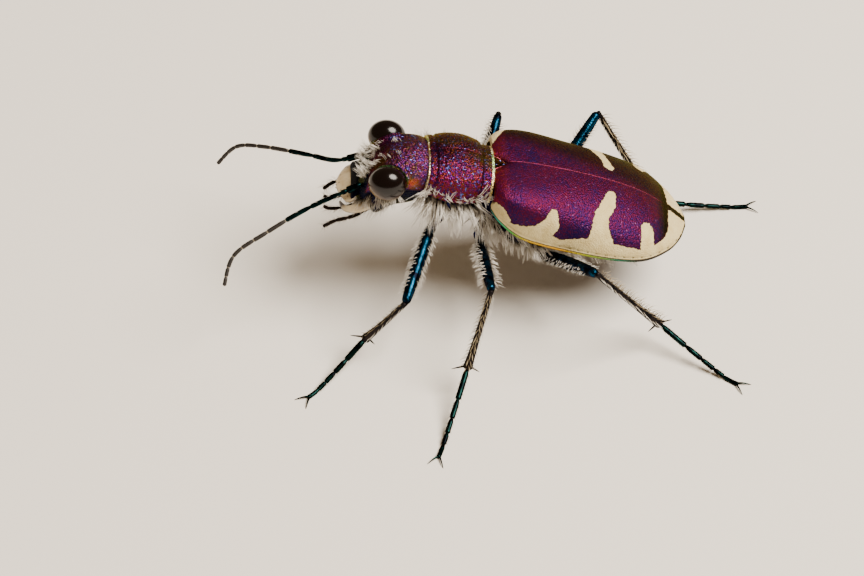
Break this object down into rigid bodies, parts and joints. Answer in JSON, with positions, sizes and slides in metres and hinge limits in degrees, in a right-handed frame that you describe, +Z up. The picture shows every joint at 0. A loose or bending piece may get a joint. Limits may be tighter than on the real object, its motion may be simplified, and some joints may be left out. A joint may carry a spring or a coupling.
{
  "type": "tiger beetle model",
  "caption": "Life-size standing tiger beetle with raised head, bulging eyes, long curved feelers, slender spread legs and domed purple wing cases edged with cream bands.",
  "frame": {"origin": "on the ground under the middle of the space that the beetle takes up, feelers and feet included", "axes": "+Z up, the head towards -Y and the beetle's left side towards +X"},
  "size_m": [0.0222, 0.027, 0.0093],
  "materials": {
    "wing_case_cuticle": "finely granulate, iridescent purple with cream bands along the side",
    "purple_cuticle": "wrinkled, iridescent purple to magenta",
    "blue_black_cuticle": "smooth, dark metallic blue",
    "steel_blue_cuticle": "smooth, metallic steel blue",
    "bronze_cuticle": "smooth, dark bronze",
    "teal_cuticle": "smooth, shiny dark green",
    "feeler_cuticle": "dull dark grey-brown",
    "ivory_cuticle": "smooth ivory",
    "eye_lens": "glossy dark brown"
  },
  "bodies": {
    "root": {"abdomen": "blue_black_cuticle", "clypeus": "blue_black_cuticle", "eye_left": "eye_lens", "eye_right": "eye_lens", "feeler_base_left": "teal_cuticle", "feeler_base_right": "teal_cuticle", "feeler_scape_left": "teal_cuticle", "feeler_scape_right": "teal_cuticle", "feeler_whip_left": "feeler_cuticle", "feeler_whip_right": "feeler_cuticle", "foot_front_left": "teal_cuticle", "foot_front_right": "teal_cuticle", "foot_hind_left": "teal_cuticle", "foot_hind_right": "teal_cuticle", "foot_middle_left": "teal_cuticle", "foot_middle_right": "teal_cuticle", "head_capsule": "purple_cuticle", "hip_front_left": "blue_black_cuticle", "hip_front_right": "blue_black_cuticle", "hip_hind_left": "blue_black_cuticle", "hip_hind_right": "blue_black_cuticle", "hip_middle_left": "blue_black_cuticle", "hip_middle_right": "blue_black_cuticle", "labial_palp_left": "bronze_cuticle", "labial_palp_right": "bronze_cuticle", "labrum": "ivory_cuticle", "mandible_left": "ivory_cuticle", "mandible_right": "ivory_cuticle", "maxillary_palp_left": "bronze_cuticle", "maxillary_palp_right": "bronze_cuticle", "mesothorax": "blue_black_cuticle", "metathorax": "blue_black_cuticle", "neck_shield": "purple_cuticle", "prothorax": "blue_black_cuticle", "scutellum": "purple_cuticle", "shin_front_left": "bronze_cuticle", "shin_front_right": "bronze_cuticle", "shin_hind_left": "bronze_cuticle", "shin_hind_right": "bronze_cuticle", "shin_middle_left": "bronze_cuticle", "shin_middle_right": "bronze_cuticle", "thigh_front_left": "steel_blue_cuticle", "thigh_front_right": "steel_blue_cuticle", "thigh_hind_left": "steel_blue_cuticle", "thigh_hind_right": "steel_blue_cuticle", "thigh_middle_left": "steel_blue_cuticle", "thigh_middle_right": "steel_blue_cuticle", "wing_case_left": "wing_case_cuticle", "wing_case_right": "wing_case_cuticle"}
  },
  "joints": []
}
